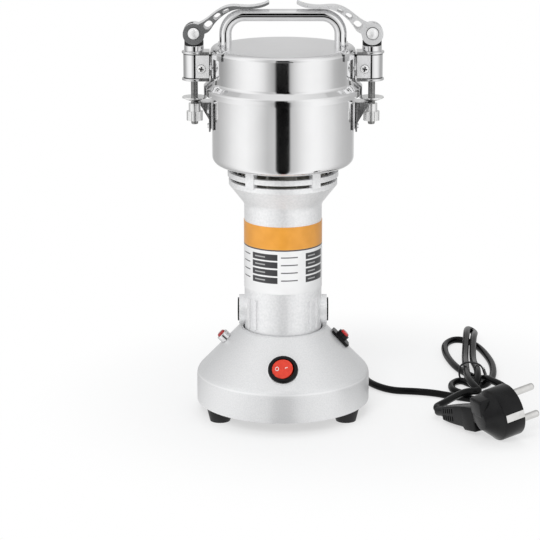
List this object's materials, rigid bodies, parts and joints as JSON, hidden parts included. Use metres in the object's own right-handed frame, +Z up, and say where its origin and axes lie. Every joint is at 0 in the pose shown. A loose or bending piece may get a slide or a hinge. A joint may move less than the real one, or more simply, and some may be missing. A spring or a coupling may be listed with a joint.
{
  "type": "electric grain mill",
  "caption": "Upright electric grain mill with a white cast motor body, polished grinding bowl, clamped lid with bar handle, round rocker switch and a tied mains lead with an angled plug.",
  "frame": {"origin": "centre of the base on the surface it stands on", "axes": "+Z up along the motor shaft, -Y towards the switch, +X towards the reset button; the cam clamps are at -X and +X"},
  "size_m": [0.2364, 0.2675, 0.2802],
  "materials": {
    "white_enamel": "smooth gloss powder coat",
    "polished_steel": "mirror-polished stainless steel",
    "clamp_steel": "bright pressed steel",
    "cast_lever": "tumbled cast aluminium",
    "zinc_fastener": "zinc-plated steel",
    "blade_steel": "ground stainless steel",
    "lamination_steel": "varnished electrical steel",
    "copper_winding": "enamelled copper wire",
    "commutator_copper": "turned copper",
    "carbon": "pressed carbon",
    "brass_part": "turned brass",
    "black_plastic": "moulded black plastic",
    "rocker_red": "moulded rocker plastic",
    "button_red": "moulded push button plastic",
    "lamp_red": "translucent red lens",
    "black_rubber": "moulded rubber",
    "grey_silicone": "food-grade silicone",
    "cord_black": "flexible PVC sheath",
    "label_film": "printed vinyl film without words",
    "nickel": "nickel-plated brass",
    "fan_plastic": "moulded fibre-filled plastic"
  },
  "bodies": {
    "body": {"feet": "black_rubber", "base_screws": "zinc_fastener", "base_shell": "white_enamel", "bottom_plate": "black_plastic", "motor_housing": "white_enamel", "lower_bearing_plate": "cast_lever", "upper_bearing_plate": "cast_lever", "bearings": "blade_steel", "stator_core": "lamination_steel", "field_coils": "copper_winding", "brush_holders": "brass_part", "carbon_brushes": "carbon", "brush_springs": "zinc_fastener", "brush_caps": "black_plastic", "bowl": "polished_steel", "bowl_screws": "zinc_fastener", "shaft_seal": "black_rubber", "lid": "polished_steel", "lid_gasket": "grey_silicone", "handle": "polished_steel", "handle_screws": "zinc_fastener", "lid_brackets": "clamp_steel", "clamp_sleeves": "clamp_steel", "sleeve_end_plates": "clamp_steel", "clamp_collars": "clamp_steel", "cam_cradles": "black_plastic", "bowl_ears": "clamp_steel", "sleeve_screws": "zinc_fastener", "rivets": "clamp_steel", "rating_label": "label_film", "switch_body": "black_plastic", "lamp_bezel": "nickel", "lamp_lens": "lamp_red", "breaker_body": "black_plastic", "cord_gland": "black_rubber", "cord_lead": "cord_black", "cord_hank": "cord_black", "plug_body": "black_plastic", "plug_contacts": "nickel"},
    "rotor": {"shaft": "blade_steel", "armature_core": "lamination_steel", "armature_winding": "copper_winding", "commutator": "commutator_copper", "cooling_fan": "fan_plastic", "blade_spacers": "blade_steel", "curved_blade": "blade_steel", "cross_blade": "blade_steel", "blade_nut": "blade_steel"},
    "rocker": {"switch_rocker": "rocker_red"},
    "reset_button": {"breaker_button": "button_red"},
    "left_rod_body": {"left_rod": "zinc_fastener", "left_dish_washer": "zinc_fastener"},
    "left_nut_body": {"left_thumb_nut": "zinc_fastener"},
    "left_lever_body": {"left_cam_lever": "cast_lever", "left_lever_pin": "zinc_fastener"},
    "right_rod_body": {"right_rod": "zinc_fastener", "right_dish_washer": "zinc_fastener"},
    "right_nut_body": {"right_thumb_nut": "zinc_fastener"},
    "right_lever_body": {"right_cam_lever": "cast_lever", "right_lever_pin": "zinc_fastener"}
  },
  "joints": [
    {"name": "rotor_spin", "type": "hinge", "parent": "body", "child": "rotor", "pos_m": [0, 0, 0.1], "axis": [0, 0, 1], "continuous": true},
    {"name": "left_rod_swing", "type": "hinge", "parent": "body", "child": "left_rod_body", "pos_m": [-0.0585, 0, 0.2597], "axis": [0, 1, 0], "range_deg": [0, 6]},
    {"name": "left_nut_turn", "type": "hinge", "parent": "left_rod_body", "child": "left_nut_body", "pos_m": [-0.0585, 0, 0.207], "axis": [0, 0, 1], "continuous": true},
    {"name": "left_lever_turn", "type": "hinge", "parent": "body", "child": "left_lever_body", "pos_m": [-0.0585, 0, 0.2597], "axis": [0, -1, 0], "range_deg": [0, 140]},
    {"name": "right_rod_swing", "type": "hinge", "parent": "body", "child": "right_rod_body", "pos_m": [0.0585, 0, 0.2597], "axis": [0, -1, 0], "range_deg": [0, 6]},
    {"name": "right_nut_turn", "type": "hinge", "parent": "right_rod_body", "child": "right_nut_body", "pos_m": [0.0585, 0, 0.207], "axis": [0, 0, 1], "continuous": true},
    {"name": "right_lever_turn", "type": "hinge", "parent": "body", "child": "right_lever_body", "pos_m": [0.0585, 0, 0.2597], "axis": [0, 1, 0], "range_deg": [0, 140]},
    {"name": "rocker_tilt", "type": "hinge", "parent": "body", "child": "rocker", "pos_m": [0, -0.04514, 0.04103], "axis": [0, 0.6915, 0.7224], "range_deg": [0, 14]},
    {"name": "reset_press", "type": "slide", "parent": "body", "child": "reset_button", "axis": [-0.7224, 0, -0.6915], "range_m": [0, 0.0018], "stiffness_N_per_m": 250}
  ]
}
